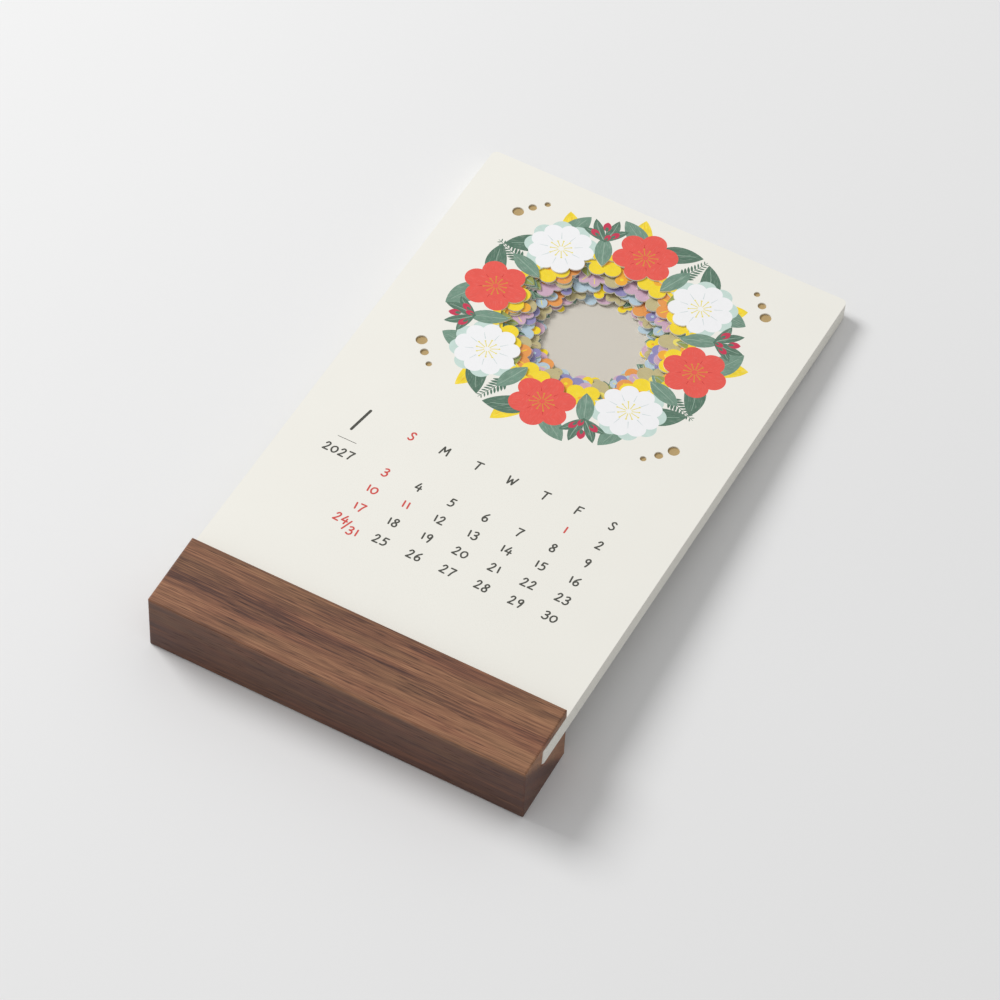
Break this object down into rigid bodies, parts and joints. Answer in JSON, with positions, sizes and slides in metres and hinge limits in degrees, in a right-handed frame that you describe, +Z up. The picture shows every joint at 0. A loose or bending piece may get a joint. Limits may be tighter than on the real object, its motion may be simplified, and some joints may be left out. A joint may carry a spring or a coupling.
{
  "type": "desk calendar",
  "caption": "Leaning stack of die-cut month cards with a stepped ring-shaped hole, held in the slot of a solid walnut stand, lying on its back.",
  "frame": {"origin": "bottom centre of the whole object's box, on the surface that it lies on", "axes": "+X along the stand and the cards' bottom edges, +Y from the stand to the cards' top edges, +Z up, out of the cards' printed faces"},
  "size_m": [0.1, 0.1714, 0.018],
  "materials": {
    "walnut": "satin oiled walnut, grain along X",
    "card_stock": "matte uncoated card, printed in flat colours"
  },
  "bodies": {
    "root": {"walnut_base": "walnut", "january_card": "card_stock", "february_card": "card_stock", "march_card": "card_stock", "april_card": "card_stock", "may_card": "card_stock", "june_card": "card_stock", "july_card": "card_stock", "august_card": "card_stock", "september_card": "card_stock", "october_card": "card_stock", "november_card": "card_stock", "december_card": "card_stock"}
  },
  "joints": []
}
